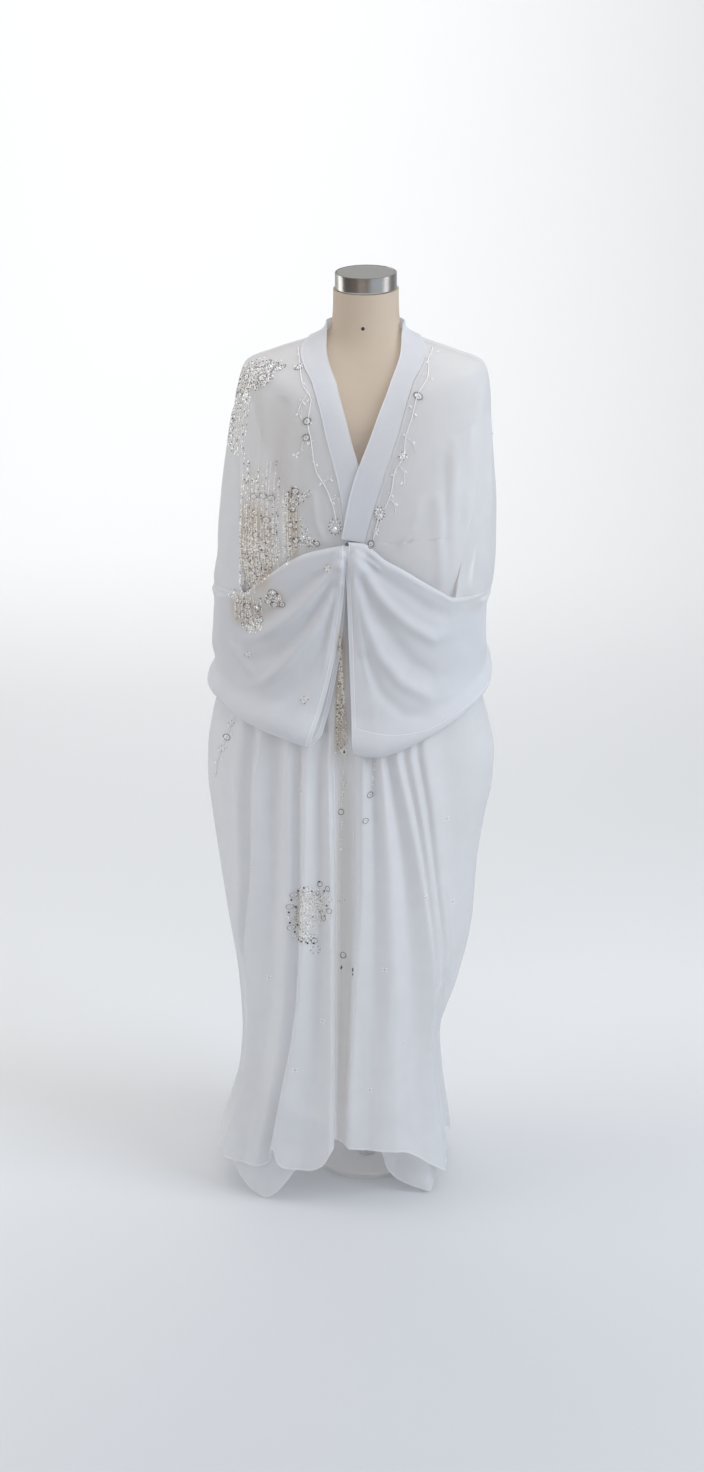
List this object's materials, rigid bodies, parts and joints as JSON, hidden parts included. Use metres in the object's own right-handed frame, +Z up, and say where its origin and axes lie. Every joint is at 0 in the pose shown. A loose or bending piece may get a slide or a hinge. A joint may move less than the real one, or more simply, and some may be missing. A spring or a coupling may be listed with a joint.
{
  "type": "abaya on dress form",
  "caption": "Sheer white open-front abaya with a crossed neckband and wide batwing sleeves pinned at the waist in soft swags, worn by a limbless dress form on a stand.",
  "frame": {"origin": "on the floor under the dress form's neck axis, at the underside of the stand's base", "axes": "+Z up, -Y the front of the garment, +X the wearer's left"},
  "size_m": [0.4867, 0.4144, 1.5828],
  "materials": {
    "chiffon_white": "sheer matte chiffon",
    "band_white": "double matte chiffon",
    "form_beige": "matte jersey",
    "cap_steel": "brushed",
    "stand_white": "satin white",
    "snap_metal": "polished"
  },
  "bodies": {
    "root": {"form_torso": "form_beige", "neck_cap": "cap_steel", "stand_pole": "stand_white", "stand_base": "stand_white", "front_right": "chiffon_white", "front_left": "chiffon_white", "back": "chiffon_white", "sleeve_right": "chiffon_white", "sleeve_left": "chiffon_white", "neckband": "band_white", "waist_snap": "snap_metal"}
  },
  "joints": []
}
